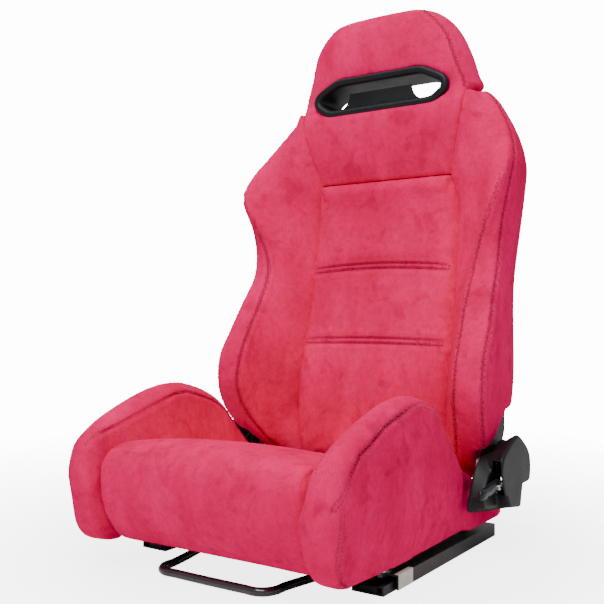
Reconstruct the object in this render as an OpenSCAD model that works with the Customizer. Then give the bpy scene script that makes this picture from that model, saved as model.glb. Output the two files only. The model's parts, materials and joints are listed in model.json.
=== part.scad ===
// Bucket-style racing seat with a reclining back, recliner, slide rails and slide bar.
// Frame: +Z up, the occupant faces -Y, +X is the occupant's left (the recliner side).
// Origin: centre of the four floor bolt holes, on the floor. Millimetres.

/* [Rails] */
// Distance between the two rails' centre lines
rail_spacing = 384; // [370:2:390]
// Length of the fixed lower rails
lower_rail_l = 380; // [370:5:400]
// Width over the side walls of a lower rail
lower_rail_w = 48; // [44:1:50]
// Height of a lower rail
lower_rail_h = 13; // [12:0.5:14]
// Width over the skirts of an upper rail
upper_rail_w = 60; // [58:1:62]
// Height of an upper rail's top face above the floor
upper_rail_top = 21.5; // [21:0.5:23]
// Front end of the upper rails
upper_rail_front = -160; // [-160:1:-150]
// Rear end of the upper rails
upper_rail_rear = 184; // [180:1:190]
// Sheet thickness of the rails
rail_t = 2.5; // [2:0.1:3]
// Distance between the front and rear floor bolt holes
floor_hole_spacing = 330; // [300:5:340]
// Radius of the floor bolt holes
floor_hole_r = 4.5; // [4.2:0.1:5.5]

/* [Slide bar] */
// Diameter of the slide bar's rod
bar_d = 12; // [10:0.5:13]
// Half width of the bar between its corner bends
bar_half_w = 97; // [90:1:105]
// Front of the bar
bar_front = -285; // [-290:1:-275]
// Height of the bar's centre line at the front
bar_z = 8; // [7:0.5:9]
// Pivot of the bar, front to back
bar_pivot_y = -40; // [-50:1:-30]
// Pivot height of the bar
bar_pivot_z = 11; // [10.5:0.5:11.5]

/* [Recliner] */
// Recliner pivot, front to back
pivot_y = 140; // [136:1:144]
// Recliner pivot height
pivot_z = 126; // [122:1:130]
// Radius of the pivot bolts
pivot_r = 8; // [7:0.5:9]
// Lever shaft, front to back
lever_y = 100; // [98:1:102]
// Lever shaft height
lever_z = 104; // [102:1:106]
// Thickness of the recliner plates and hinge arms
plate_t = 5; // [4:0.5:5]
// Inner face of the lower side plates
side_plate_x = 232; // [232:0.5:233]
// Inner face of the hinge arms
arm_x = 226; // [225:0.5:226]
// Wall thickness of the plastic covers
cover_t = 2.5; // [2:0.1:3]

/* [Cushion] */
// Rear end of the cushion centre
cushion_rear = 117; // [112:1:118]
// Half width of the cushion centre at its seams
cushion_half_w = 178; // [174:1:182]

/* [Back] */
// Height of the insert's top seam
insert_top = 613; // [605:1:620]
// Height of the insert's bottom edge
insert_bottom = 106; // [104:1:110]
// Top of the head part
head_top = 918; // [912:1:924]
// Radius of the back frame's tube
frame_r = 11; // [9:0.5:12]
// Height of the middle of the belt slot
slot_z = 772; // [768:1:776]

/* [Hidden] */
$fn = 48;

steel_black = [0.07, 0.07, 0.08];
plastic_black = [0.10, 0.11, 0.12];
zinc = [0.78, 0.79, 0.80];
suede = [0.80, 0.10, 0.22];
rail_x = rail_spacing / 2;
gap = 0.6;

// Profiles of the upholstery: each list gives [height, value] pairs, read by lookup().
// Insert (and the collar seam above it): edge half width and front face.
edge_x = [[105, 141], [180, 150], [300, 150], [450, 146], [570, 144], [613, 136], [672, 152], [735, 165],
          [765, 168]];
edge_y = [[105, 145], [180, 146], [257, 152], [330, 175], [410, 191], [490, 204], [570, 212], [613, 202],
          [672, 186], [735, 180], [765, 186]];
// Ridge of the back bolsters.
ridge_x = [[99, 172], [118, 179], [160, 196], [212, 208], [300, 210], [411, 205], [473, 211], [530, 232],
           [588, 258], [626, 260], [682, 236], [735, 204], [765, 176]];
ridge_y = [[99, 143], [110, 134], [118, 128], [139, 103], [160, 85], [184, 66], [212, 49], [241, 41],
           [270, 44], [300, 53], [354, 81], [411, 114], [441, 129], [473, 135], [502, 133], [530, 126],
           [588, 120], [626, 140], [655, 162], [682, 184], [708, 202], [735, 216], [765, 222]];
// Outer seam of the back bolsters.
seam_x = [[99, 196], [118, 205], [160, 243], [190, 252], [240, 258], [340, 256], [441, 246], [515, 250],
          [588, 264], [626, 264], [655, 255], [682, 243], [708, 228], [735, 211], [765, 182]];
seam_y = [[99, 147], [110, 138], [118, 134], [139, 106], [160, 87], [190, 62], [240, 44], [297, 50],
          [340, 77], [391, 107], [441, 138], [484, 147], [515, 148], [588, 148], [626, 166], [682, 200],
          [735, 222], [765, 228]];
// Rear edge of the side panels and the middle of the rear face.
side_x = [[99, 202], [110, 204], [122, 222], [205, 242], [450, 242], [588, 250], [626, 250], [682, 232],
          [735, 200], [765, 178]];
side_y = [[99, 160], [118, 165], [160, 180], [205, 198], [340, 207], [410, 214], [480, 232], [588, 254],
          [650, 268], [700, 272], [765, 262]];
rear_y = [[105, 160], [205, 248], [257, 262], [340, 272], [450, 292], [540, 308], [600, 318], [650, 316],
          [700, 302], [750, 288], [800, 278], [850, 270], [890, 258], [918, 240]];
// Head part: seam half width, front face, widest half width.
head_seam_x = [[613, 136], [672, 152], [735, 165], [768, 165], [813, 149], [858, 134], [894, 106],
               [910, 84], [918, 60]];
head_front_y = [[613, 208], [672, 190], [735, 184], [768, 196], [790, 194], [836, 190], [878, 186],
                [900, 188], [912, 196], [918, 212]];
head_side_x = [[613, 136], [672, 152], [735, 165], [762, 168], [768, 178], [787, 172], [817, 164],
               [847, 153], [876, 138], [899, 116], [912, 92], [918, 66]];
foam_d = 36;
pocket_x = 233;

// ---------- helpers ----------
module both_sides() { for (s = [-1, 1]) scale([s, 1, 1]) children(); }
module left_side() { children(); }
module right_side() { mirror([1, 0, 0]) children(); }

// A closed skin over rings of equal point counts, each anticlockwise seen against the way they advance.
module skin(rings) {
  n = len(rings[0]);
  m = len(rings);
  polyhedron(
    points = [for (r = rings) for (p = r) p],
    faces = concat(
      [[for (i = [0:n - 1]) i]],
      [[for (i = [n - 1:-1:0]) (m - 1) * n + i]],
      [for (k = [0:m - 2]) for (i = [0:n - 1]) [k * n + (i + 1) % n, k * n + i, (k + 1) * n + i]],
      [for (k = [0:m - 2]) for (i = [0:n - 1]) [(k + 1) * n + (i + 1) % n, k * n + (i + 1) % n,
      (k + 1) * n + i]]),
    convexity = 8);
}

function turned(ring) = [for (i = [len(ring) - 1:-1:0]) ring[i]];

// A bar swept as one skin along a path; the path never runs along the side direction.
module tube(path, r, side, sides = 14) {
  n = len(path);
  function dir(i) = let (d = path[min(i + 1, n - 1)] - path[max(i - 1, 0)]) d / norm(d);
  skin([for (i = [0:n - 1])
    let (t = dir(i), b = cross(t, side), u = b / norm(b), v = cross(u, t))
    [for (k = [0:sides - 1]) path[i] + r * (cos(360 * k / sides) * u - sin(360 * k / sides) * v)]]);
}

// Smooth curve through points, n steps between neighbours.
function smooth(p, n) = concat(
  [for (i = [0:len(p) - 2], k = [0:n - 1])
    curve_at(p[max(i - 1, 0)], p[i], p[i + 1], p[min(i + 2, len(p) - 1)], k / n)], [p[len(p) - 1]]);
function curve_at(a, b, c, d, t) =
  0.5 * (2 * b + (c - a) * t + (2 * a - 5 * b + 4 * c - d) * t * t + (3 * b - a - 3 * c + d) * t * t * t);
function mirrored(p) = [for (i = [len(p) - 1:-1:0]) [-p[i][0], p[i][1], p[i][2]]];

module rod(a, b, r) {
  d = b - a;
  l = norm(d);
  translate(a) rotate([0, acos(d[2] / l), atan2(d[1], d[0])]) cylinder(r = r, h = l);
}

// A cylinder along X from x0 to x1.
module x_cyl(x0, x1, y, z, r) { translate([x0, y, z]) rotate([0, 90, 0]) cylinder(r = r, h = x1 - x0); }

// Draws a Y-Z outline as a plate from x0 to x1.
module yz_plate(x0, x1) { translate([x0, 0, 0]) rotate([90, 0, 90]) linear_extrude(x1 - x0) children(); }

module box(lo, hi) { translate(lo) cube(hi - lo); }

// ---------- rails ----------
bolt_y = [-150, 132];

module lower_rail() {
  color(steel_black) difference() {
    translate([rail_x, 0, 0]) rotate([90, 0, 0]) linear_extrude(lower_rail_l,
      center = true) lower_profile();
    for (y = [-1, 1]) translate([rail_x, y * floor_hole_spacing / 2, -1]) cylinder(r = floor_hole_r, h = 5);
    for (y = [-150:10:150])
      box([rail_x - lower_rail_w / 2 + rail_t, y - 2.5, 8], [rail_x - lower_rail_w / 2 + 9, y + 2.5, 30]);
  }
}

module lower_profile() {
  w = lower_rail_w / 2;
  lip = 7.5;
  difference() {
    translate([-w, 0]) square([2 * w, lower_rail_h]);
    translate([-w + rail_t, rail_t]) square([2 * (w - rail_t), lower_rail_h - 2 * rail_t]);
    translate([-w + lip, rail_t]) square([2 * (w - lip), lower_rail_h]);
  }
}

module left_lower_rail() left_side() lower_rail();
module right_lower_rail() right_side() lower_rail();

module rail_end_stops() {
  color([0.05, 0.05, 0.05]) both_sides() for (y = [-187, 181])
    translate([rail_x - 13, y, rail_t]) cube([26, 6, 7]);
}

module upper_rail() {
  w = upper_rail_w / 2;
  color(steel_black) difference() {
    union() {
      translate([rail_x, upper_rail_rear, 0]) rotate([90, 0, 0])
        linear_extrude(upper_rail_rear - upper_rail_front) difference() {
          translate([-w, 1.5]) square([2 * w, upper_rail_top - 1.5]);
          translate([-w + rail_t, 0]) square([2 * (w - rail_t), upper_rail_top - rail_t]);
        }
      translate([rail_x - 2, -120, 9]) cube([4, 200, upper_rail_top - 10]);
      translate([rail_x - 15, -120, 7.7]) cube([30, 200, 2.4]);
    }
    for (y = bolt_y) translate([rail_x, y, 15]) cylinder(r = 4.2, h = 12);
    box([rail_x - w - 1, -128, 12.5], [rail_x - w + 18, -86, 40]);
    x_cyl(rail_x - w - 1, rail_x - w + rail_t + 1, bar_pivot_y, bar_pivot_z, 3.05);
  }
  color(steel_black) latch_bracket();
}

// Ear beside the inner skirt that carries the slide bar's pivot.
module latch_bracket() {
  difference() {
    box([bar_end_x - 12, bar_pivot_y - 9, 4], [rail_x - upper_rail_w / 2 + 0.2, bar_pivot_y + 9, 21]);
    box([bar_end_x - 9, bar_pivot_y - 10, 0], [rail_x - upper_rail_w / 2 + 0.3, bar_pivot_y + 10, 18.5]);
    x_cyl(bar_end_x - 14, bar_end_x, bar_pivot_y, bar_pivot_z, 3.05);
  }
}

module left_upper_rail() left_side() upper_rail();
module right_upper_rail() right_side() upper_rail();

module slide_balls() {
  color(zinc) both_sides() for (y = [-112:60:68]) for (x = [-11, 11])
    translate([rail_x + x, y, 5.25]) sphere(r = 2.4);
}

module rail_bolts() {
  color(zinc) both_sides() for (y = bolt_y) translate([rail_x, y, 0]) {
    translate([0, 0, upper_rail_top - rail_t - 6.2]) cylinder(r = 7.2, h = 6, $fn = 6);
    translate([0, 0, upper_rail_top - rail_t - 0.5]) cylinder(r = 4, h = 27);
    translate([0, 0, 39.2]) cylinder(r = 7.2, h = 6, $fn = 6);
  }
}

module rail_spacers() {
  color(zinc) both_sides() for (y = bolt_y) translate([rail_x, y, upper_rail_top + 0.05]) difference() {
    union() {
      cylinder(r = 9, h = 36 - upper_rail_top - 0.1);
      cylinder(r = 13, h = 2);
    }
    translate([0, 0, -1]) cylinder(r = 4.3, h = 18);
  }
}

module rail_label() {
  w = rail_x + upper_rail_w / 2;
  color([0.86, 0.85, 0.80]) {
    box([w + 0.05, -159, 2], [w + 0.35, -117, upper_rail_top + 0.35]);
    box([w - 7, -159, upper_rail_top + 0.05], [w + 0.05, -117, upper_rail_top + 0.35]);
  }
}

// ---------- cushion frame ----------
pan_x = 208;
pan_front = -256;
pan_rear = 168;
tube_r = 8;
front_tube = [75, 79];
rear_tube = [160, 68];

module seat_pan() {
  color(steel_black) difference() {
    union() {
      box([-pan_x, pan_front, 36], [pan_x, pan_rear, 39]);
      for (s = [-1, 1]) box([s * pan_x - 1.5, pan_front, 36], [s * pan_x + 1.5, pan_rear, 56]);
      for (s = [-1, 1]) box([s * pan_x - 1.5, 52, 36], [s * pan_x + 1.5, 100, 90]);
      for (s = [-1, 1]) box([s * pan_x - 1.5, 90, 36], [s * pan_x + 1.5, pan_rear, 79]);
      box([-pan_x, pan_front, 36], [pan_x, pan_front + 3, 56]);
      box([-pan_x, pan_rear - 3, 36], [pan_x, pan_rear, 52]);
    }
    box([-160, -215, 30], [160, 6, 45]);
    box([-160, 62, 30], [160, 140, 45]);
    both_sides() for (y = bolt_y) translate([rail_x, y, 30]) cylinder(r = 4.2, h = 12);
    x_cyl(-230, 230, front_tube[0], front_tube[1], tube_r + 0.05);
    x_cyl(-230, 230, rear_tube[0], rear_tube[1], tube_r + 0.05);
  }
}

// Sinuous springs from the pan's front edge to its rear rail.
module seat_springs() {
  pitch = 24;
  half = 16;
  color(zinc) for (x = [-120:60:120]) translate([x, -226, 44]) {
    for (i = [0:10]) translate([-half, i * pitch, 0]) rotate([0, 90, 0]) cylinder(r = 1.9, h = 2 * half,
      $fn = 16);
    for (i = [0:9]) translate([(i % 2 == 0 ? 1 : -1) * half, (i + 0.5) * pitch, 0])
      rotate([0, 0, i % 2 == 0 ? -90 : 90]) rotate_extrude(angle = 180, $fn = 32)
        translate([pitch / 2, 0]) circle(r = 1.9, $fn = 16);
    for (y = [-3, 10 * pitch - 3]) translate([-5, y, -5]) cube([10, 6, 4]);
  }
}

module cross_tube(p) {
  color(steel_black) difference() {
    x_cyl(-side_plate_x + 0.2, side_plate_x - 0.2, p[0], p[1], tube_r);
    x_cyl(-side_plate_x - 1, side_plate_x + 1, p[0], p[1], tube_r - 2);
  }
}

module front_cross_tube() cross_tube(front_tube);
module rear_cross_tube() cross_tube(rear_tube);

// ---------- cushion ----------
// Room for the pan and the cross tubes under the foam.
module cushion_pocket() {
  box([-213, -262, 0], [213, 50, 59]);
  box([-213, 46, 0], [213, 260, 91]);
}

centre_top = [[-324, 150], [-318, 166], [-300, 178], [-275, 182], [-200, 172], [-100, 150], [0, 128],
              [112, 108], [120, 105]];
centre_bottom = [[-324, 110], [-316, 84], [-300, 60], [-286, 44], [-262, 40], [120, 40]];

module cushion_centre() {
  stations = [-324, -318, -308, -292, -275, -230, -170, -90, 0, 70, 106, cushion_rear];
  color(suede) difference() {
    skin([for (y = stations) turned(centre_ring(y, lookup(y, centre_bottom), lookup(y, centre_top)))]);
    cushion_pocket();
  }
}

// Crowned cross-section of the cushion centre.
function centre_ring(y, lo, hi) =
  let (w = cushion_half_w - 1.2 - (y < -300 ? 2 : 0))
  [[-w + 14, y, lo], [w - 14, y, lo], [w, y, lo + 14], [w, y, hi - 12], [w - 26, y, hi + 2],
   [w / 2, y, hi + 8], [0, y, hi + 10], [-w / 2, y, hi + 8], [-w + 26, y, hi + 2], [-w, y, hi - 12],
   [-w, y, lo + 14]];

crest_z = [[-340, 150], [-329, 180], [-305, 204], [-280, 219], [-247, 233], [-211, 246], [-170, 256],
           [-121, 259], [-84, 252], [-50, 240], [-18, 220], [8, 191], [38, 158], [67, 129], [90, 118],
           [108, 112]];
skirt_z = [[-340, 110], [-332, 76], [-318, 50], [-290, 36], [-262, 33], [108, 33]];

module cushion_bolster() {
  stations = [-340, -334, -322, -305, -280, -247, -211, -170, -121, -84, -50, -18, 8, 38, 67, 90, 108];
  color(suede) difference() {
    union() {
      skin([for (y = stations) turned(bolster_ring(y, lookup(y, skirt_z), lookup(y, crest_z)))]);
      bolster_tail();
    }
    cushion_pocket();
    x_cyl(200, 260, front_tube[0], front_tube[1], tube_r + 0.6);
    x_cyl(200, 260, rear_tube[0], rear_tube[1], tube_r + 0.6);
    box([224.5, 36, 86], [260, 240, 300]);
    box([219.5, 60, 86], [260, 240, 300]);
  }
}

// Inner face, crest and outer face of a cushion bolster at one station.
function bolster_ring(y, lo, hi) =
  let (nose = y < -322 ? (-322 - y) * 0.7 : 0, up = hi - lo, inner = cushion_half_w + 0.6, out = 232 - nose)
  [[inner + 4, y, lo + 6], [inner + 22, y, lo], [out - 18, y, lo], [out - 10, y, lo + 8], [out, y,
  lo + up * 0.5],
   [out - 1, y, hi - up * 0.12], [out - 10, y, hi - up * 0.04], [212, y, hi], [196, y, hi - up * 0.05],
   [inner + 8 + nose * 0.5, y, hi - up * 0.14], [inner, y, lo + up * 0.45]];

// Low skirt that runs on beside the pan to the rear corner.
module bolster_tail() {
  yz_plate(212, 231.8) polygon([[100, 33], [186, 33], [196, 38], [197, 46], [176, 60], [150, 80], [100,
    86]]);
  yz_plate(212, 219.5) polygon([[100, 80], [150, 80], [128, 92], [100, 108]]);
}

module left_cushion_bolster() left_side() cushion_bolster();
module right_cushion_bolster() right_side() cushion_bolster();

// ---------- recliner ----------
module side_plate() {
  color(steel_black) difference() {
    union() {
      x_cyl(side_plate_x, side_plate_x + plate_t, pivot_y, pivot_z, 33);
      yz_plate(side_plate_x, side_plate_x + plate_t)
        polygon([[50, 73], [50, 92], [84, 132], [118, 148], [166, 112], [182, 78], [176, 57], [150, 58],
          [141, 73]]);
    }
    x_cyl(side_plate_x - 1, side_plate_x + plate_t + 1, pivot_y, pivot_z, pivot_r + 0.05);
    x_cyl(side_plate_x - 1, side_plate_x + plate_t + 1, lever_y, lever_z, 6.05);
    for (p = [front_tube, rear_tube]) x_cyl(side_plate_x - 1, side_plate_x + plate_t + 1, p[0], p[1], 3.2);
  }
}

module left_side_plate() left_side() side_plate();
module right_side_plate() right_side() side_plate();

arm_outline = [[114, 142], [178, 212], [188, 330], [216, 330], [210, 257], [205, 205], [205, 174],
               [168, 118], [140, 110]];

module hinge_arm() {
  color(steel_black) difference() {
    union() {
      x_cyl(arm_x, arm_x + plate_t, pivot_y, pivot_z, 33);
      yz_plate(arm_x, arm_x + plate_t)
        polygon(arm_outline);
    }
    x_cyl(arm_x - 1, arm_x + plate_t + 1, pivot_y, pivot_z, pivot_r + 0.05);
    for (z = arm_bolt_z) x_cyl(arm_x - 1, arm_x + plate_t + 1, arm_bolt_y(z), z, 4.05);
  }
}

function frame_y(z) = lookup(z, edge_y) + foam_d + frame_r + 2;
arm_bolt_z = [235, 300];
boss_r = 8;
function arm_bolt_y(z) = lookup(z, [[235, 196], [300, 202]]);

module left_hinge_arm() left_side() hinge_arm();
module right_hinge_arm() right_side() hinge_arm();

// The pivot bolts are fixed to the side plates; the arms turn on them.
module pivot_bolts() {
  color(zinc) {
    x_cyl(arm_x - 6, side_plate_x + 7, pivot_y, pivot_z, pivot_r - 0.01);
    x_cyl(arm_x - 6, arm_x - 1, pivot_y, pivot_z, 13);
    mirror([1, 0, 0]) {
      x_cyl(arm_x - 6, side_plate_x + 14, pivot_y, pivot_z, pivot_r - 0.01);
      x_cyl(arm_x - 6, arm_x - 1, pivot_y, pivot_z, 13);
      x_cyl(side_plate_x + plate_t + 0.5, side_plate_x + plate_t + 7, pivot_y, pivot_z, 13);
    }
  }
}

// Flat spiral spring around the left pivot bolt.
module recliner_spring() {
  turns = 2.6;
  steps = 70;
  function r_at(i) = 10.5 + 16 * i / steps;
  function a_at(i) = 360 * turns * i / steps;
  color(zinc) yz_plate(side_plate_x + plate_t + 1, side_plate_x + plate_t + 9)
    translate([pivot_y, pivot_z]) polygon(concat(
      [for (i = [0:steps]) (r_at(i) + 1.1) * [cos(a_at(i)), sin(a_at(i))]],
      [for (i = [steps:-1:0]) (r_at(i) - 1.1) * [cos(a_at(i)), sin(a_at(i))]]));
}

// Toothed sector on the inner end of the left hinge arm.
module recliner_sector() {
  color(zinc) difference() {
    union() {
      x_cyl(arm_x - 5.2, arm_x - 0.2, pivot_y, pivot_z, 33);
      for (a = [176:8:264]) yz_plate(arm_x - 5.2, arm_x - 0.2)
        translate([pivot_y, pivot_z]) rotate(a) polygon([[31, -2], [36, -0.7], [36, 0.7], [31, 2]]);
    }
    x_cyl(arm_x - 6, arm_x, pivot_y, pivot_z, 15);
  }
}

module lever_shaft() {
  color(zinc) {
    x_cyl(arm_x - 6, 276, lever_y, lever_z, 5.98);
    yz_plate(266, 270) polygon([[104, 97], [104, 111], [62, 115], [62, 103]]);
  }
}

// Toothed pawl on the lever shaft, drawn just clear of the sector's teeth.
module recliner_pawl() {
  color(zinc) difference() {
    yz_plate(arm_x - 5.2, arm_x - 0.2) polygon([[lever_y - 9, lever_z - 7], [lever_y - 8, lever_z + 10],
      [lever_y - 3, lever_z + 13], [lever_y + 5, lever_z + 4], [lever_y + 9, lever_z - 6], [lever_y + 4,
      lever_z - 10]]);
    x_cyl(arm_x - 7, arm_x + 1, lever_y, lever_z, 6);
  }
}

module lever_handle() {
  color(plastic_black) difference() {
    union() {
      hull() {
        translate([273, 66, 110]) scale([0.75, 1, 1]) sphere(r = 8.5, $fn = 20);
        translate([274, 30, 109]) scale([0.72, 1, 1]) sphere(r = 8.5, $fn = 20);
      }
      hull() {
        translate([274, 30, 109]) scale([0.72, 1, 1]) sphere(r = 8.5, $fn = 20);
        translate([275.5, -3, 107]) scale([0.62, 1, 1]) sphere(r = 9.5, $fn = 20);
      }
    }
    box([265.9, 44, 90], [270.1, 90, 130]);
    x_cyl(270, 290, 56, 108.5, 4.4);
  }
}

module lever_screw() {
  color(zinc) difference() {
    union() {
      x_cyl(270.3, 279.5, 56, 108.5, 2);
      x_cyl(276.5, 280.2, 56, 108.5, 4.1);
    }
    box([279.2, 51, 108], [281, 61, 109]);
  }
}

// Covers: outlines as [y, z] at the rim and at the face.
dome_rim = [[90, 84], [158, 88], [204, 92], [206, 130], [196, 152], [174, 164], [150, 162], [118, 148],
            [86, 142]];
dome_face = [[147, 99], [179, 102], [183, 128], [178, 145], [161, 161], [126, 179], [90, 167], [64, 151],
             [57, 132], [64, 109], [76, 92]];
tail_rim = [[96, 60], [152, 54], [158, 88], [157, 104], [90, 104]];
tail_face = [[96, 72], [136, 66], [147, 99], [146, 112], [70, 112], [76, 92]];
front_rim = [[26, 76], [34, 69], [152, 54], [150, 120], [118, 148], [74, 146], [49, 124]];
front_face = [[33, 92], [41, 76], [126, 66], [126, 120], [104, 150], [88, 150], [70, 134], [43, 109]];

module cover_block(rim, face, x0, x1, t) {
  hull() {
    yz_plate(x0, x0 + 3) offset(delta = -t) polygon(rim);
    yz_plate(x1 - t - 4, x1 - t) offset(delta = -t * 0.8 - 1) polygon(face);
    yz_plate(x1 - t - 4, x1 - t - 2) offset(delta = -t * 0.8) polygon(face);
  }
}

module recliner_cover_outer(t, x0) {
  cover_block(front_rim, front_face, x0, 263, t);
  dome_block(x0, 284, t);
}

// Domed part over the pivot with the tail below it.
module dome_block(x0, x1, t) {
  yz_plate(x0, 254) offset(delta = -t) polygon(dome_rim);
  cover_block(dome_rim, dome_face, 251, x1, t);
  cover_block(tail_rim, tail_face, x0, x1, t);
}

module left_recliner_cover() {
  color(plastic_black) difference() {
    recliner_cover_outer(0, 239);
    recliner_cover_outer(cover_t, 236);
    box([263.4, 40, 92], [281.2, 112, 145]);
  }
}

module right_pivot_cover() {
  color(plastic_black) mirror([1, 0, 0]) difference() {
    dome_block(239, 264, 0);
    dome_block(236, 264, cover_t);
    for (p = cover_screw_yz) x_cyl(255, 270, p[0], p[1], 2.05);
  }
}

cover_screw_yz = [[112, 78], [168, 116]];

module cover_screws() {
  color(zinc) {
    x_cyl(side_plate_x + plate_t + 0.2, 262.5, 112, 72, 2);
    mirror([1, 0, 0]) for (p = cover_screw_yz) {
      x_cyl(side_plate_x + plate_t + 0.2, 264.5, p[0], p[1], 2);
      x_cyl(264.2, 266, p[0], p[1], 5);
    }
  }
}

// ---------- back ----------
// Cross-section of a back bolster at height z: front skin, side and the pocket behind it.
function wing_ring(z) =
  let (e = [lookup(z, edge_x), lookup(z, edge_y)], r = [lookup(z, ridge_x), lookup(z, ridge_y)],
       s = [lookup(z, seam_x), lookup(z, seam_y)], b = [lookup(z, side_x), lookup(z, side_y)],
       m = (e + r) / 2, p = e[1] + foam_d, in_x = min(pocket_x, b[0] - (p > b[1] ? 14 : 8)))
  [[e[0] + gap, e[1] + 2, z], [m[0] + 2, m[1] - 3, z], [r[0] - 4, r[1] + 4, z], [r[0] + 3, r[1] - 1, z],
   [(r[0] + s[0]) / 2 + 2, (r[1] + s[1]) / 2 - 3, z], [s[0], s[1], z],
   [max(s[0], b[0]) + 2, (s[1] * 2 + b[1]) / 3, z], [(s[0] + b[0] * 2) / 3 + 3, (s[1] + b[1] * 2) / 3, z],
   [b[0], b[1], z], [in_x + 1, b[1], z], [in_x, min(p, b[1] - 1), z], [in_x - 1, p, z],
   [e[0] + gap, p, z]];

module back_bolster() {
  stations = [99, 110, 118, 139, 160, 184, 212, 241, 270, 300, 340, 380, 411, 441, 473, 502, 530, 570, 588,
    613, 626, 655,
              682, 708, 735, 756];
  color(suede) difference() {
    skin([for (z = stations) wing_ring(z)]);
    yz_plate(223, 300) polygon([[60, 136], [171, 210], [260, 214], [260, 60], [60, 60]]);
    yz_plate(arm_x - 0.5, arm_x + plate_t + 0.5) offset(delta = 0.5) polygon(arm_outline);
    x_cyl(arm_x - 7, arm_x + plate_t + 1, pivot_y, pivot_z, 37);
    for (z = arm_bolt_z) {
      x_cyl(201, arm_x, arm_bolt_y(z), z, boss_r + 0.5);
      x_cyl(arm_x, arm_x + plate_t + 5.5, arm_bolt_y(z), z, 7.5);
    }
  }
}

// Centre line of one leg of the frame hoop, from its foot to the top bend.
hoop_leg = [[213, frame_y(196), 196], [213, frame_y(260), 260], [213, frame_y(330), 330], [213,
            frame_y(410), 410],
            [213, frame_y(490), 490], [213, 262, 560],
            [196, 264, 640], [165, 262, 682], [120, 260, 703], [60, 259, 708]];

module left_back_bolster() left_side() back_bolster();
module right_back_bolster() right_side() back_bolster();

// Cross-section of the insert: raised above the bolsters, edges rolled back.
function insert_ring(z, lift) =
  let (x = lookup(z, edge_x) - 0.3, y = lookup(z, edge_y))
  [[-x, y + 26, z], [-x, y + 3, z], [-x + 9, y - lift, z], [-x / 2, y - lift - 1, z], [0, y - lift - 1.5,
  z],
   [x / 2, y - lift - 1, z], [x - 9, y - lift, z], [x, y + 3, z], [x, y + 26, z]];

module back_insert() {
  stations = [insert_bottom, 116, 150, 180, 257, 300, 330, 370, 410, 450, 490, 530, 570, 594, 606,
    insert_top];
  lifts = [[106, 0], [116, 8], [594, 10], [606, 8], [613, 2]];
  color(suede) skin([for (z = stations) insert_ring(z, lookup(z, lifts))]);
}

// The collar is hollow behind, up to this height and from this depth, for the frame hoop.
hollow_top = 722;
hollow_y = 244;

// Collar between the shoulders and the head above it, as one foam part.
function head_ring(z) =
  let (s = lookup(z, head_seam_x) - gap, y = lookup(z, head_front_y), w = lookup(z, head_side_x) - gap,
       d = (z < hollow_top ? hollow_y : lookup(z, rear_y) - 8) - y, k = z > 765 ? 3 : 1)
  [[0, y - k, z], [s / 2, y - k * 0.7, z], [s - 6, y, z], [s, y + 5, z], [w, y + d * 0.5, z],
   [w, y + d * 0.7, z], [w - 8, y + d * 0.92, z], [w * 0.7, y + d - 1, z], [0, y + d, z], [-w * 0.7,
   y + d - 1, z],
   [-w + 8, y + d * 0.92, z], [-w, y + d * 0.7, z], [-w, y + d * 0.5, z], [-s, y + 5, z], [-s + 6, y, z],
   [-s / 2, y - k * 0.7, z]];

module headrest_pad() {
  stations = [insert_top + 0.5, 640, 672, 705, hollow_top - 1, hollow_top, 735, 758, 768, 790, 817, 847,
    876, 894,
              905, 912, head_top];
  color(suede) difference() {
    skin([for (z = stations) head_ring(z)]);
    slot_prism(150, 350, 0.6);
  }
}

// Belt slot: corners of its right half around which the outline is rounded by a radius.
slot_half = [[103, -19], [124, -4], [122, 2], [84, 21]];
slot_corners = concat(slot_half, [for (i = [3:-1:0]) [-slot_half[i][0], slot_half[i][1]]]);
slot_round = 12;

function edge_normal(a, b) = atan2(b[1] - a[1], b[0] - a[0]) - 90;
function rounded(pts, r) = [for (i = [0:len(pts) - 1])
  let (n = len(pts), a = edge_normal(pts[(i + n - 1) % n], pts[i]), b = edge_normal(pts[i],
    pts[(i + 1) % n]),
       turn = b < a ? b - a + 360 : b - a)
  for (k = [0:4]) pts[i] + r * [cos(a + turn * k / 4), sin(a + turn * k / 4)]];

// Extruded slot outline from y0 to y1, grown by g.
module slot_prism(y0, y1, g) {
  translate([0, y1, slot_z]) rotate([90, 0, 0]) linear_extrude(y1 - y0)
    polygon(rounded(slot_corners, slot_round + g));
}

module slot_bezel() {
  color(plastic_black) difference() {
    union() {
      slot_prism(184, 187, -3);
      slot_prism(186, 193, 0);
      slot_prism(192, 266, 0);
    }
    slot_prism(150, 300, -11);
  }
}

// Flat plate that closes the lower middle of the slot.
module slot_bridge() {
  color(plastic_black) translate([0, 196, slot_z - 19.9]) {
    rotate([90, 0, 0]) linear_extrude(3, center = true) difference() {
      translate([-92, 0]) square([184, 28]);
      for (s = [-1, 1]) translate([s * 95, 28]) circle(r = 31);
    }
    for (x = [-50, 50]) translate([x - 3, 0, 0]) cube([6, 24, 12]);
  }
}

module back_frame() {
  color(steel_black) difference() {
    union() {
      tube(smooth(concat(hoop_leg, mirrored(hoop_leg)), 3), frame_r, [0, 1, 0]);
      for (z = [235, 520]) rod([-203, frame_y(z), z], [203, frame_y(z), z], 7);
      both_sides() for (z = arm_bolt_z) x_cyl(213, arm_x - 0.2, arm_bolt_y(z), z, boss_r);
    }
    both_sides() for (z = arm_bolt_z) x_cyl(arm_x - 7, arm_x, arm_bolt_y(z), z, 4.05);
  }
}

module arm_bolts() {
  color(zinc) both_sides() for (z = arm_bolt_z) {
    x_cyl(arm_x - 6.8, arm_x + plate_t + 0.5, arm_bolt_y(z), z, 3.98);
    x_cyl(arm_x + plate_t + 0.5, arm_x + plate_t + 3.5, arm_bolt_y(z), z, 6);
  }
}

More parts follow.
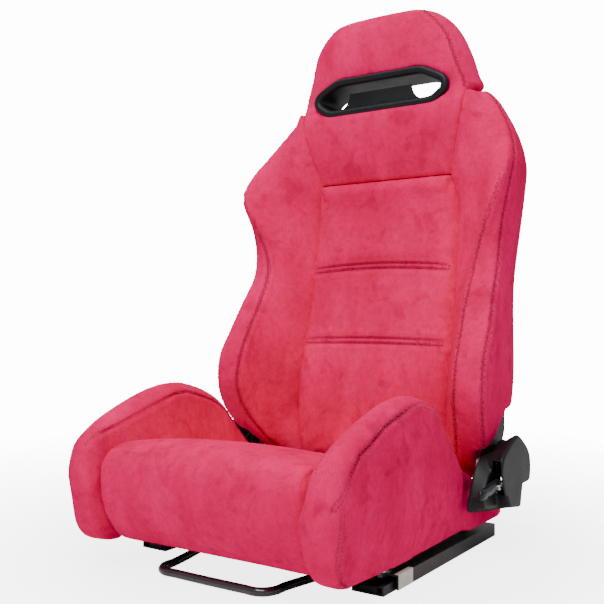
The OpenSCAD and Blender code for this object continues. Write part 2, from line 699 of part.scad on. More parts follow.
// Wires across the hoop that carry the insert's foam.
module back_springs() {
  color(zinc) for (z = [290:45:470]) {
    y = frame_y(z) - 2;
    tube(smooth([[-201.8, y, z], [-150, y - 3, z + 8], [-75, y - 7, z - 12], [0, y - 7, z + 12],
                 [75, y - 7, z - 12], [150, y - 3, z + 8], [201.8, y, z]], 3), 2, [0, 1, 0], 8);
  }
}

// Rear cover: a curved shell from the side seams round the back.
function panel_ring(z) =
  let (b = [lookup(z, side_x), lookup(z, side_y)], r = lookup(z, rear_y), t = 6)
  [[b[0] - 1, b[1] + 1, z], [b[0] - 8, b[1] + (r - b[1]) * 0.45, z], [b[0] - 34, r - 14, z], [b[0] * 0.55,
  r - 4, z],
   [0, r, z], [-b[0] * 0.55, r - 4, z], [-b[0] + 34, r - 14, z], [-b[0] + 8, b[1] + (r - b[1]) * 0.45, z],
   [-b[0] + 1, b[1] + 1, z], [-b[0] + t, b[1] + 1, z], [-b[0] + t + 9, b[1] + (r - b[1]) * 0.4, z],
   [-b[0] + 38, r - 14 - t, z], [-b[0] * 0.55, r - 4 - t, z], [0, r - t, z], [b[0] * 0.55, r - 4 - t, z],
   [b[0] - 38, r - 14 - t, z], [b[0] - t - 9, b[1] + (r - b[1]) * 0.4, z], [b[0] - t, b[1] + 1, z]];

module back_panel() {
  stations = [205, 257, 300, 340, 380, 410, 450, 480, 540, 588, 626, 650, 682, 708, 721];
  color(suede) skin([for (z = stations) panel_ring(z)]);
}

// Apron that closes the back below the rear cover.
apron_half_w = 196;
apron_y = 187;

module back_apron() {
  color(suede) translate([0, apron_y, 0]) rotate([90, 0, 180]) linear_extrude(4)
    polygon([[-apron_half_w, 204.5], [-apron_half_w, 150], [-apron_half_w + 34, 122], [apron_half_w - 34,
      122],
             [apron_half_w, 150], [apron_half_w, 204.5]]);
}

// ---------- slide bar ----------
bar_end_x = rail_x - 39;
bar_corner = 14;
bar_leg = [[bar_end_x, bar_pivot_y, bar_pivot_z], [bar_end_x, bar_pivot_y - 10, bar_pivot_z],
           [bar_end_x - 8, bar_pivot_y - 32, 9.8], [130, -96, 9], [119, -150, 8.4],
           [bar_half_w + 2, bar_front + 40, bar_z], [bar_half_w - 1, bar_front + bar_corner, bar_z],
           [bar_half_w - bar_corner, bar_front + 1, bar_z], [60, bar_front, bar_z]];

module slide_bar() {
  color(plastic_black) {
    tube(smooth(concat(bar_leg, mirrored(bar_leg)), 3), bar_d / 2, [0, 0, 1]);
    both_sides() x_cyl(bar_end_x - 11.5, rail_x - upper_rail_w / 2 + rail_t - 0.2, bar_pivot_y,
      bar_pivot_z, 3);
  }
}

// Toothed plates that lock the slide, drawn just clear of the rail's notches.
module slide_latches() {
  color(zinc) both_sides() {
    box([124, -120, 15.1], [rail_x - 25, -90, 17.2]);
    for (y = [-120:10:-90]) box([rail_x - 30, y - 1.8, 15.1], [rail_x - 18, y + 1.8, 17.2]);
  }
}

left_lower_rail();
right_lower_rail();
rail_end_stops();
left_upper_rail();
right_upper_rail();
slide_balls();
rail_bolts();
rail_spacers();
rail_label();
seat_pan();
seat_springs();
front_cross_tube();
rear_cross_tube();
cushion_centre();
left_cushion_bolster();
right_cushion_bolster();
left_side_plate();
right_side_plate();
pivot_bolts();
recliner_spring();
left_recliner_cover();
right_pivot_cover();
cover_screws();
back_frame();
left_hinge_arm();
right_hinge_arm();
arm_bolts();
back_springs();
recliner_sector();
back_insert();
left_back_bolster();
right_back_bolster();
headrest_pad();
slot_bezel();
slot_bridge();
back_panel();
back_apron();
lever_shaft();
recliner_pawl();
lever_handle();
lever_screw();
slide_bar();
slide_latches();
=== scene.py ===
"""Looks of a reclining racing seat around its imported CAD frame: suede upholstery, trim, paint and light."""
import json
import math

import bmesh
import bpy
import numpy as np
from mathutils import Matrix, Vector
from mathutils.bvhtree import BVHTree
from mathutils.kdtree import KDTree


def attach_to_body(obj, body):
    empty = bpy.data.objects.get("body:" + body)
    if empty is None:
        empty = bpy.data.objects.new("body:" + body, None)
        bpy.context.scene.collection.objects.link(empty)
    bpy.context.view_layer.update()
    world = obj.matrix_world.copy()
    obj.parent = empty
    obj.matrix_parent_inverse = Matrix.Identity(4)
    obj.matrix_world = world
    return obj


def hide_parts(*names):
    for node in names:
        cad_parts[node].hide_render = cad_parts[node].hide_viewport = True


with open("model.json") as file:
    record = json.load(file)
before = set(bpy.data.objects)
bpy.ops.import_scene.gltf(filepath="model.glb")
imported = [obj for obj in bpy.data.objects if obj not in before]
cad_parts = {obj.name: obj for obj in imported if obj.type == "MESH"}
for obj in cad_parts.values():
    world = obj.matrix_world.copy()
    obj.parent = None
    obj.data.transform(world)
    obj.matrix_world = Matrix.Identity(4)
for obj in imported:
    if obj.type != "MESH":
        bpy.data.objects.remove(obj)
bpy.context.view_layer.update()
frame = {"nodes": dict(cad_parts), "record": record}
MM = 0.001


# ---------------------------------------------------------------- profiles
class Profile:
    """A smooth curve through (position, value) pairs, in millimetres, held flat past its ends."""

    def __init__(self, *pairs):
        self.x = np.array([p[0] for p in pairs], float)
        self.y = np.array([p[1] for p in pairs], float)
        step = np.diff(self.y) / np.diff(self.x)
        self.m = np.concatenate([[step[0]], (step[1:] + step[:-1]) / 2, [step[-1]]])

    def __call__(self, t):
        t = np.clip(np.asarray(t, float), self.x[0], self.x[-1])
        i = np.clip(np.searchsorted(self.x, t) - 1, 0, len(self.x) - 2)
        h = self.x[i + 1] - self.x[i]
        u = (t - self.x[i]) / h
        return ((2 * u**3 - 3 * u**2 + 1) * self.y[i] + (u**3 - 2 * u**2 + u) * h * self.m[i]
                + (3 * u**2 - 2 * u**3) * self.y[i + 1] + (u**3 - u**2) * h * self.m[i + 1])


# The same driving profiles as the CAD model: [height, value].
EDGE_X = Profile([105, 141], [180, 150], [300, 150], [450, 146], [570, 144], [613, 136], [672, 152],
                 [735, 165], [765, 168])
EDGE_Y = Profile([105, 145], [180, 146], [257, 152], [330, 175], [410, 191], [490, 204], [570, 212],
                 [613, 202], [672, 186], [735, 180], [765, 186])
RIDGE_X = Profile([99, 172], [118, 179], [160, 196], [212, 208], [300, 210], [411, 205], [473, 211],
                  [530, 232], [588, 258], [626, 260], [682, 236], [735, 204], [765, 176])
RIDGE_Y = Profile([99, 143], [110, 134], [118, 128], [139, 103], [160, 85], [184, 66], [212, 49], [241, 41],
                  [270, 44], [300, 53], [354, 81], [411, 114], [441, 129], [473, 135], [502, 133], [530, 126],
                  [588, 120], [626, 140], [655, 162], [682, 184], [708, 202], [735, 216], [765, 222])
SEAM_X = Profile([99, 196], [118, 205], [160, 243], [190, 252], [240, 258], [340, 256], [441, 246], [515, 250],
                 [588, 264], [626, 264], [655, 255], [682, 243], [708, 228], [735, 211], [765, 182])
SEAM_Y = Profile([99, 147], [110, 138], [118, 134], [139, 106], [160, 87], [190, 62], [240, 44], [297, 50],
                 [340, 77], [391, 107], [441, 138], [484, 147], [515, 148], [588, 148], [626, 166], [682, 200],
                 [735, 222], [765, 228])
SIDE_X = Profile([99, 202], [110, 204], [122, 222], [205, 242], [450, 242], [588, 250], [626, 250], [682, 232],
                 [735, 200], [765, 178])
SIDE_Y = Profile([99, 160], [118, 165], [160, 180], [205, 198], [340, 207], [410, 214], [480, 232], [588, 254],
                 [650, 268], [700, 272], [765, 262])
REAR_Y = Profile([105, 160], [205, 248], [257, 262], [340, 272], [450, 292], [540, 308], [600, 318],
                 [650, 316], [700, 302], [750, 288], [800, 278], [850, 270], [890, 258], [918, 240])
HEAD_SEAM_X = Profile([613, 136], [672, 152], [735, 165], [768, 165], [813, 149], [858, 134], [894, 106],
                      [910, 84], [918, 60])
HEAD_FRONT_Y = Profile([613, 208], [672, 190], [735, 184], [768, 196], [790, 194], [836, 190], [878, 186],
                       [900, 188], [912, 196], [918, 212])
HEAD_SIDE_X = Profile([613, 136], [672, 152], [735, 165], [762, 168], [768, 178], [787, 172], [817, 164],
                      [847, 153], [876, 138], [899, 116], [912, 92], [918, 66])
CENTRE_TOP = Profile([-324, 150], [-318, 166], [-300, 178], [-275, 182], [-200, 172], [-100, 150], [0, 128],
                     [112, 108], [120, 105])
CENTRE_LOW = Profile([-324, 110], [-316, 84], [-300, 60], [-286, 44], [-262, 40], [120, 40])
CREST_Z = Profile([-340, 150], [-329, 180], [-305, 204], [-280, 219], [-247, 233], [-211, 246], [-170, 256],
                  [-121, 259], [-84, 252], [-50, 240], [-18, 220], [8, 191], [38, 158], [67, 129], [90, 118],
                  [108, 112])
SKIRT_Z = Profile([-340, 110], [-332, 76], [-318, 50], [-290, 36], [-262, 33], [108, 33])
CUSHION_HALF = 178
POCKET_X = 233
FOAM = 36
# width in mm of the painted shade along the seam grooves
SEAM_SHADE = 2.6
INSERT_LOW, INSERT_TOP, HEAD_TOP = 106, 613, 918
HOLLOW_TOP, HOLLOW_Y = 722, 244
SLOT_Z = 772
PIVOT = (140, 126)


# ---------------------------------------------------------------- mesh helpers
def new_object(name, verts, faces):
    mesh = bpy.data.meshes.new(name)
    mesh.from_pydata([tuple(map(float, v)) for v in verts], [], faces)
    mesh.update()
    obj = bpy.data.objects.new(name, mesh)
    bpy.context.scene.collection.objects.link(obj)
    return obj


def closed_curve(points, count):
    """Evenly spaced points on the smooth closed curve through the given ones."""
    p = np.asarray(points, float)
    u = np.linspace(0, 1, 12, endpoint=False)[:, None]
    a, b, c, d = np.roll(p, 1, 0), p, np.roll(p, -1, 0), np.roll(p, -2, 0)
    tight = 0.4
    fine = [((2 * u**3 - 3 * u**2 + 1) * b[i] + (u**3 - 2 * u**2 + u) * tight * (c[i] - a[i])
             + (3 * u**2 - 2 * u**3) * c[i] + (u**3 - u**2) * tight * (d[i] - b[i])) for i in range(len(p))]
    fine = np.concatenate(fine + [fine[0][:1]])
    run = np.concatenate([[0], np.cumsum(np.linalg.norm(np.diff(fine, axis=0), axis=1))])
    at = np.linspace(0, run[-1], count, endpoint=False)
    return np.stack([np.interp(at, run, fine[:, k]) for k in range(fine.shape[1])], 1)


def loft(name, rings, count=72):
    """A closed skin over smoothed rings of 3-D points in millimetres."""
    return skin(name, [closed_curve(r, count) for r in rings])


def skin(name, rings):
    """A closed skin over rings of equal point counts in millimetres; the ends are capped."""
    count = len(rings[0])
    verts = np.concatenate(rings) * MM
    faces = []
    for k in range(len(rings) - 1):
        for i in range(count):
            j = (i + 1) % count
            faces.append((k * count + i, k * count + j, (k + 1) * count + j, (k + 1) * count + i))
    faces.append(tuple(range(count - 1, -1, -1)))
    faces.append(tuple((len(rings) - 1) * count + i for i in range(count)))
    obj = new_object(name, verts, faces)
    tidy_normals(obj)
    return obj


def merge(obj, *others):
    """Puts other objects' faces into one object."""
    bm = bmesh.new()
    for piece in (obj, *others):
        bm.from_mesh(piece.data)
    bm.to_mesh(obj.data)
    bm.free()
    for piece in others:
        bpy.data.objects.remove(piece)
    return obj


def circle(middle, radius, count=48):
    return [(middle[0] + radius * math.cos(2 * math.pi * i / count),
             middle[1] + radius * math.sin(2 * math.pi * i / count)) for i in range(count)]


def bake(obj):
    """Applies every modifier on an object."""
    graph = bpy.context.evaluated_depsgraph_get()
    graph.update()
    mesh = bpy.data.meshes.new_from_object(obj.evaluated_get(graph))
    old = obj.data
    obj.modifiers.clear()
    obj.data = mesh
    bpy.data.meshes.remove(old)
    return obj


def remesh(obj, size):
    mod = obj.modifiers.new("voxels", "REMESH")
    mod.mode = "VOXEL"
    mod.voxel_size = size
    bake(obj)
    relax = obj.modifiers.new("relax", "SMOOTH")
    relax.factor = 0.5
    relax.iterations = 4
    return bake(obj)


def cut(obj, cutter, keep=False):
    mod = obj.modifiers.new("cut", "BOOLEAN")
    mod.object = cutter
    mod.operation = "DIFFERENCE"
    mod.solver = "MANIFOLD"
    bake(obj)
    if not keep:
        bpy.data.objects.remove(cutter)
    return obj


def prism_x(outline, x0, x1):
    """A Y-Z outline in millimetres, extruded along X."""
    n = len(outline)
    verts = [(x * MM, y * MM, z * MM) for x in (x0, x1) for y, z in outline]
    faces = [tuple(range(n - 1, -1, -1)), tuple(range(n, 2 * n))]
    faces += [(i, (i + 1) % n, n + (i + 1) % n, n + i) for i in range(n)]
    obj = new_object("prism", verts, faces)
    tidy_normals(obj)
    return obj


def plate_y(name, outline, y0, y1):
    """A closed plate between two depths from an outline of (x, z) points, in millimetres."""
    n = len(outline)
    verts = [(x * MM, y * MM, z * MM) for y in (y0, y1) for x, z in outline]
    faces = [tuple(range(n)), tuple(range(2 * n - 1, n - 1, -1))]
    faces += [(i, n + i, n + (i + 1) % n, (i + 1) % n) for i in range(n)]
    obj = new_object(name, verts, faces)
    tidy_normals(obj)
    return obj


def tidy_normals(obj):
    bm = bmesh.new()
    bm.from_mesh(obj.data)
    bmesh.ops.recalc_face_normals(bm, faces=bm.faces)
    bm.to_mesh(obj.data)
    bm.free()


def coords(obj):
    co = np.zeros(len(obj.data.vertices) * 3)
    obj.data.vertices.foreach_get("co", co)
    return co.reshape(-1, 3)


def normals(obj):
    no = np.zeros(len(obj.data.vertices) * 3)
    obj.data.vertices.foreach_get("normal", no)
    return no.reshape(-1, 3)


def set_coords(obj, co):
    obj.data.vertices.foreach_set("co", np.ascontiguousarray(co, float).ravel())
    obj.data.update()


def smooth_shade(obj):
    obj.data.polygons.foreach_set("use_smooth", [True] * len(obj.data.polygons))


def tree_of(lines):
    pts = np.concatenate(lines)
    tree = KDTree(len(pts))
    for i, p in enumerate(pts):
        tree.insert(p, i)
    tree.balance()
    return tree


def distances(co, lines):
    tree = tree_of(lines)
    return np.array([tree.find(p)[2] for p in co])


def mirror_copy(obj, name):
    other = obj.copy()
    other.data = obj.data.copy()
    other.name = name
    bpy.context.scene.collection.objects.link(other)
    co = coords(other)
    co[:, 0] *= -1
    set_coords(other, co)
    other.data.flip_normals()
    return other


# ---------------------------------------------------------------- cloth
def puff(obj, seams, hidden, cap, frames=20, pressure=4.0):
    """Swells the cover between its seams by cloth simulation; hidden(co) marks what stays still."""
    co = coords(obj)
    away = distances(co, seams) if seams else np.full(len(co), 1.0)
    hold = np.clip(1.4 - away / (9 * MM), 0, 1)
    hold = np.maximum(hold, hidden(co / MM).astype(float))
    group = obj.vertex_groups.new(name="hold")
    for i, w in enumerate(hold):
        if w > 0.01:
            group.add([i], float(w), "REPLACE")
    mod = obj.modifiers.new("cloth", "CLOTH")
    s = mod.settings
    s.quality = 5
    s.mass = 0.3
    s.tension_stiffness = 12
    s.compression_stiffness = 12
    s.shear_stiffness = 5
    s.bending_stiffness = 2.5
    s.use_pressure = True
    s.uniform_pressure_force = pressure
    s.effector_weights.gravity = 0
    s.vertex_group_mass = "hold"
    mod.collision_settings.use_collision = False
    mod.point_cache.frame_start = 1
    mod.point_cache.frame_end = frames
    scene = bpy.context.scene
    for f in range(1, frames + 1):
        scene.frame_set(f)
    graph = bpy.context.evaluated_depsgraph_get()
    result = coords(obj.evaluated_get(graph))
    obj.modifiers.clear()
    obj.vertex_groups.clear()
    scene.frame_set(1)
    move = result - co
    size = np.linalg.norm(move, axis=1, keepdims=True)
    move *= np.minimum(1.0, cap / np.maximum(size, 1e-9))
    set_coords(obj, co + move)


def subdivide(obj, levels=1):
    mod = obj.modifiers.new("fine", "SUBSURF")
    mod.levels = levels
    mod.render_levels = levels
    return bake(obj)


def press(obj, lines, depth, width, lip=0.0, lip_at=6.0):
    """Pulls the cover in along seam lines, with an optional soft lip beside them (millimetres)."""
    co = coords(obj)
    d = distances(co, lines) / MM
    move = -depth * np.exp(-((d / width) ** 2)) + lip * np.exp(-(((d - lip_at) / (lip_at * 0.55)) ** 2))
    set_coords(obj, co + normals(obj) * (move * MM)[:, None])
    # marks the groove so the suede paints shade along it
    shade_seam(obj, np.exp(-((d / SEAM_SHADE) ** 2)))


def shade_seam(obj, amount):
    """Keeps how close each point is to a seam, which the suede turns into a darker line of painted shade along the
    groove.
    """
    marks = obj.data.attributes.get("seam") or obj.data.attributes.new("seam", "FLOAT", "POINT")
    before = np.zeros(len(obj.data.vertices))
    marks.data.foreach_get("value", before)
    marks.data.foreach_set("value", np.maximum(before, amount))


# ---------------------------------------------------------------- seams and stitches
def line(points, step=2.0):
    """A polyline in millimetres resampled evenly, in metres."""
    p = np.asarray(points, float)
    run = np.concatenate([[0], np.cumsum(np.linalg.norm(np.diff(p, axis=0), axis=1))])
    at = np.arange(0, run[-1], step)
    return np.stack([np.interp(at, run, p[:, k]) for k in range(3)], 1) * MM


def bvh_of(obj):
    bm = bmesh.new()
    bm.from_mesh(obj.data)
    tree = BVHTree.FromBMesh(bm)
    bm.free()
    return tree


def snap(path, tree):
    return np.array([tree.find_nearest(p)[0] for p in path])


def stitch_rows(name, obj, paths, offsets, material, length=3.8, pitch=5.4, thick=0.8):
    """Thread stitches laid on a piece's surface beside its seam paths (metres; sizes in millimetres)."""
    tree = bvh_of(obj)
    verts, faces = [], []
    for path in paths:
        path = snap(path, tree)
        run = np.concatenate([[0], np.cumsum(np.linalg.norm(np.diff(path, axis=0), axis=1))])
        count = int(run[-1] / (pitch * MM))
        for offset in offsets:
            for k in range(count):
                s = (k + 0.5) * pitch * MM
                here = np.array([np.interp(s, run, path[:, i]) for i in range(3)])
                ahead = np.array([np.interp(s + MM, run, path[:, i]) for i in range(3)])
                along = Vector(ahead - here)
                if along.length < 1e-7:
                    continue
                along.normalize()
                spot, normal, _, _ = tree.find_nearest(Vector(here))
                side = along.cross(normal).normalized()
                spot, normal, _, _ = tree.find_nearest(Vector(here) + side * offset * MM)
                add_stitch(verts, faces, spot, along, normal, length, thick)
    out = new_object(name, verts, faces)
    smooth_shade(out)
    out.data.materials.append(material)
    return out


def add_stitch(verts, faces, spot, along, normal, length, thick):
    """One thread stitch: a short rounded bar that dives into the cover at both ends."""
    side = along.cross(normal).normalized()
    start = len(verts)
    profile = ((-0.5, 0.25, -0.5), (-0.3, 0.9, 0.12), (0.0, 1.0, 0.3), (0.3, 0.9, 0.12), (0.5, 0.25, -0.5))
    sides = 6
    for t, swell, lift in profile:
        middle = Vector(spot) + along * (t * length * MM) + normal * (lift * thick * MM)
        for i in range(sides):
            a = 2 * math.pi * i / sides
            verts.append(middle + (side * math.cos(a) + normal * math.sin(a)) * (thick * swell * MM))
    for ring in range(len(profile) - 1):
        for i in range(sides):
            j = (i + 1) % sides
            base = start + ring * sides
            faces.append((base + i, base + j, base + sides + j, base + sides + i))


# ---------------------------------------------------------------- materials
def material(name):
    mat = bpy.data.materials.new(name)
    mat.use_nodes = True
    tree = mat.node_tree
    shader = tree.nodes["Principled BSDF"]
    return mat, tree, shader


def node(tree, kind, **inputs):
    n = tree.nodes.new(kind)
    for key, value in inputs.items():
        n.inputs[key.replace("_", " ")].default_value = value
    return n


def noise(tree, scale, detail=4.0, rough=0.55, distortion=0.0, stretch=None):
    where = tree.nodes.new("ShaderNodeTexCoord")
    out = where.outputs["Object"]
    if stretch:
        move = tree.nodes.new("ShaderNodeMapping")
        move.inputs["Scale"].default_value = stretch
        tree.links.new(out, move.inputs["Vector"])
        out = move.outputs["Vector"]
    n = node(tree, "ShaderNodeTexNoise", Scale=scale, Detail=detail, Roughness=rough, Distortion=distortion)
    tree.links.new(out, n.inputs["Vector"])
    return n.outputs["Fac"]


def ramp(tree, source, stops):
    r = tree.nodes.new("ShaderNodeValToRGB")
    tree.links.new(source, r.inputs["Fac"])
    while len(r.color_ramp.elements) < len(stops):
        r.color_ramp.elements.new(0.5)
    for element, (at, colour) in zip(r.color_ramp.elements, stops):
        element.position = at
        element.color = (*colour, 1)
    return r.outputs["Color"]


def mix(tree, kind, fac, a, b):
    m = tree.nodes.new("ShaderNodeMix")
    m.data_type = "RGBA"
    m.blend_type = kind
    if isinstance(fac, float):
        m.inputs["Factor"].default_value = fac
    else:
        tree.links.new(fac, m.inputs["Factor"])
    for socket, value in ((m.inputs["A"], a), (m.inputs["B"], b)):
        if isinstance(value, tuple):
            socket.default_value = (*value, 1)
        else:
            tree.links.new(value, socket)
    return m.outputs["Result"]


def bump(tree, shader, heights):
    """Chains bumps of (height output, strength, distance in mm) into the shader's normal."""
    last = None
    for height, strength, distance in heights:
        b = node(tree, "ShaderNodeBump", Strength=strength, Distance=distance * MM)
        tree.links.new(height, b.inputs["Height"])
        if last:
            tree.links.new(last, b.inputs["Normal"])
        last = b.outputs["Normal"]
    tree.links.new(last, shader.inputs["Normal"])


def suede():
    mat, tree, shader = material("suede")
    brushed = noise(tree, 13.0, 5.0, 0.6, 0.35, (1, 1, 0.6))
    strokes = noise(tree, 24.0, 3.0, 0.5, 0.8)
    mottle = noise(tree, 95.0, 5.0, 0.7, 0.4)
    fibre = noise(tree, 1000.0, 3.0, 0.75)
    colour = ramp(tree, brushed, [(0.36, (0.76, 0.002, 0.098)), (0.50, (0.86, 0.002, 0.122)),
                                  (0.64, (0.96, 0.003, 0.150))])
    for amount, pattern, low, shade, high in ((0.50, strokes, 0.33, (0.72, 0.62, 0.62), 0.43),
                                              (0.50, mottle, 0.34, (0.76, 0.64, 0.66), 0.58),
                                              (0.45, fibre, 0.36, (0.62, 0.52, 0.55), 0.60)):
        colour = mix(tree, "MULTIPLY", amount, colour, ramp(tree, pattern, [(low, shade), (high, (1, 1, 1))]))
    # painted shade: darkens the suede along the pressed seam grooves
    seam = tree.nodes.new("ShaderNodeAttribute")
    seam.attribute_name = "seam"
    colour = mix(tree, "MULTIPLY", seam.outputs["Fac"], colour, (0.50, 0.34, 0.40))
    tree.links.new(colour, shader.inputs["Base Color"])
    shader.inputs["Roughness"].default_value = 0.95
    shader.inputs["Specular IOR Level"].default_value = 0.02
    shader.inputs["Sheen Weight"].default_value = 0.07
    shader.inputs["Sheen Roughness"].default_value = 0.35
    shader.inputs["Sheen Tint"].default_value = (1.0, 0.03, 0.20, 1)
    bump(tree, shader, [(fibre, 0.4, 0.4), (mottle, 0.35, 0.7)])
    return mat


def thread():
    mat, tree, shader = material("thread")
    twist = noise(tree, 1400.0, 2.0, 0.5, 0.0, (1, 1, 3))
    tree.links.new(ramp(tree, twist, [(0.35, (0.16, 0.001, 0.02)), (0.65, (0.36, 0.003, 0.055))]),
                   shader.inputs["Base Color"])
    shader.inputs["Roughness"].default_value = 0.6
    shader.inputs["Sheen Weight"].default_value = 0.3
    bump(tree, shader, [(twist, 0.4, 0.2)])
    return mat


def grained_plastic(name, low, high, rough, grain, strength):
    mat, tree, shader = material(name)
    pebble = noise(tree, grain, 3.0, 0.6)
    wear = noise(tree, 22.0, 5.0, 0.65, 0.3)
    tree.links.new(ramp(tree, wear, [(0.35, low), (0.65, high)]), shader.inputs["Base Color"])
    finish = ramp(tree, wear, [(0.3, (rough - 0.06,) * 3), (0.7, (rough + 0.07,) * 3)])
    tree.links.new(finish, shader.inputs["Roughness"])
    shader.inputs["Specular IOR Level"].default_value = 0.22
    bump(tree, shader, [(pebble, strength, 0.25)])
    return mat


def paint(name, low, high, rough, coat):
    mat, tree, shader = material(name)
    flow = noise(tree, 260.0, 2.0, 0.5)
    dust = noise(tree, 30.0, 6.0, 0.7)
    tree.links.new(ramp(tree, dust, [(0.4, low), (0.72, high)]), shader.inputs["Base Color"])
    tree.links.new(ramp(tree, dust, [(0.35, (rough,) * 3), (0.75, (rough + 0.14,) * 3)]), shader.inputs["Roughness"])
    shader.inputs["Coat Weight"].default_value = coat
    shader.inputs["Coat Roughness"].default_value = 0.12
    bump(tree, shader, [(flow, 0.12, 0.2)])
    return mat


def metal(name, low, high, rough, stretch=(1, 1, 1)):
    mat, tree, shader = material(name)
    brush = noise(tree, 420.0, 4.0, 0.6, 0.0, stretch)
    stain = noise(tree, 45.0, 4.0, 0.6)
    tree.links.new(ramp(tree, stain, [(0.35, low), (0.65, high)]), shader.inputs["Base Color"])
    tree.links.new(ramp(tree, brush, [(0.3, (rough - 0.05,) * 3), (0.7, (rough + 0.1,) * 3)]),
                   shader.inputs["Roughness"])
    shader.inputs["Metallic"].default_value = 1.0
    bump(tree, shader, [(brush, 0.15, 0.15)])
    return mat


def paper_label():
    mat, tree, shader = material("paper_label")
    fibres = noise(tree, 500.0, 4.0, 0.6)
    age = noise(tree, 40.0, 4.0, 0.6)
    tree.links.new(ramp(tree, age, [(0.35, (0.62, 0.60, 0.53)), (0.7, (0.78, 0.77, 0.71))]),
                   shader.inputs["Base Color"])
    shader.inputs["Roughness"].default_value = 0.7
    bump(tree, shader, [(fibres, 0.2, 0.1)])
    return mat


def rubber():
    mat, tree, shader = material("rubber")
    dust = noise(tree, 60.0, 5.0, 0.6)
    tree.links.new(ramp(tree, dust, [(0.35, (0.012, 0.012, 0.012)), (0.7, (0.035, 0.035, 0.035))]),
                   shader.inputs["Base Color"])
    shader.inputs["Roughness"].default_value = 0.8
    bump(tree, shader, [(dust, 0.2, 0.3)])
    return mat


SUEDE = suede()
THREAD = thread()
PLASTIC = grained_plastic("black_plastic", (0.005, 0.006, 0.007), (0.009, 0.011, 0.013), 0.42, 1500.0, 0.35)
GLOSS = grained_plastic("gloss_plastic", (0.008, 0.010, 0.012), (0.014, 0.017, 0.020), 0.22, 700.0, 0.08)
RAIL_PAINT = paint("rail_paint", (0.006, 0.006, 0.006), (0.013, 0.013, 0.013), 0.42, 0.1)
FRAME_PAINT = paint("frame_paint", (0.007, 0.007, 0.008), (0.016, 0.016, 0.017), 0.5, 0.0)
BAR_PAINT = paint("bar_gloss", (0.006, 0.006, 0.008), (0.014, 0.013, 0.014), 0.16, 0.8)
ZINC = metal("zinc", (0.55, 0.56, 0.58), (0.74, 0.75, 0.76), 0.28)
SPRING = metal("spring_steel", (0.18, 0.18, 0.19), (0.34, 0.34, 0.35), 0.38)
LABEL = paper_label()
RUBBER = rubber()
SLOT_MATERIALS = {"rail_paint": RAIL_PAINT, "frame_paint": FRAME_PAINT, "bar_gloss": BAR_PAINT, "zinc": ZINC,
                  "spring_steel": SPRING, "black_plastic": PLASTIC, "gloss_plastic": GLOSS, "rubber": RUBBER,
                  "label": LABEL, "suede": SUEDE}


def dress_cad():
    """Gives every CAD node the procedural material of its slot."""
    for part in frame["record"]["subparts"]:
        obj = frame["nodes"][part["node"]]
        obj.data.materials.clear()
        obj.data.materials.append(SLOT_MATERIALS[part["material_slot"]])


# ---------------------------------------------------------------- upholstery shapes
def soft_piece(obj, seams, hidden, cap, voxel, grooves):
    """Remesh, swell, refine and sew one pad."""
    remesh(obj, voxel * MM)
    puff(obj, seams, hidden, cap * MM)
    subdivide(obj)
    for lines, depth, width, lip, lip_at in grooves:
        press(obj, lines, depth, width, lip, lip_at)
    smooth_shade(obj)
    dress(obj, SUEDE)


def declare(obj, body, nodes):
    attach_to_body(obj, body)
    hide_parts(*nodes)


def dress(obj, mat):
    obj.data.materials.clear()
    obj.data.materials.append(mat)


def attach(obj, body):
    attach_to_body(obj, body)


def wing_ring(z):
    """Cross-section of the left back bolster at height z, millimetres."""
    e = np.array([EDGE_X(z), EDGE_Y(z)])
    r = np.array([RIDGE_X(z), RIDGE_Y(z)])
    s = np.array([SEAM_X(z), SEAM_Y(z)])
    b = np.array([SIDE_X(z), SIDE_Y(z)])
    m = (e + r) / 2
    p = e[1] + FOAM
    inner = min(POCKET_X, b[0] - (14 if p > b[1] else 8))
    ring = [(e[0] + 0.5, e[1] + 2), (m[0] + 2, m[1] - 3), (r[0] - 4, r[1] + 4), (r[0] + 3, r[1] - 1),
            ((r[0] + s[0]) / 2 + 2, (r[1] + s[1]) / 2 - 3), (s[0], s[1]),
            (max(s[0], b[0]) + 2, (s[1] * 2 + b[1]) / 3), ((s[0] + b[0] * 2) / 3 + 3, (s[1] + b[1] * 2) / 3),
            (b[0], b[1]), (inner + 1, b[1]), (inner, min(p, b[1] - 1)), (inner - 1, p), (e[0] + 0.5, p)]
    return [(x, y, z) for x, y in ring]


def heights(low, high, step):
    count = int(round((high - low) / step))
    return [low + (high - low) * i / count for i in range(count + 1)]


def make_wing():
    wing = loft("left_wing_pad", [wing_ring(z) for z in heights(99, 756, 7)], 90)
    cut(wing, prism_x([(60, 134), (171, 210), (262, 214), (262, 60), (60, 60)], 222, 300))
    cut(wing, prism_x(circle(PIVOT, 40), 217, 300))
    span = heights(122, 750, 3)
    ridge = line([(RIDGE_X(z), RIDGE_Y(z), z) for z in span if z < 600])
    outer = line([(SEAM_X(z), SEAM_Y(z), z) for z in span if z > 150])
    rear = line([(SIDE_X(z), SIDE_Y(z), z) for z in span if z > 205])

    def hidden(c):
        behind = (c[:, 1] > EDGE_Y(c[:, 2]) + 12) & (c[:, 0] < SIDE_X(c[:, 2]) - 14)
        return behind | (c[:, 0] < EDGE_X(c[:, 2]) + 4)

    soft_piece(wing, [ridge, outer, rear], hidden, 5, 5.5,
               [([ridge], 3.0, 2.2, 0.9, 9), ([outer], 3.0, 2.2, 0.9, 9), ([rear], 2.0, 2.5, 0.4, 8)])
    seams = stitch_rows("left_wing_stitches", wing, [ridge, outer], (-3.6, 3.6), THREAD)
    other = mirror_copy(wing, "right_wing_pad")
    other_seams = mirror_copy(seams, "right_wing_stitches")
    declare(wing, "backrest", ["left_back_bolster"])
    declare(other, "backrest", ["right_back_bolster"])
    attach(seams, "backrest")
    attach(other_seams, "backrest")


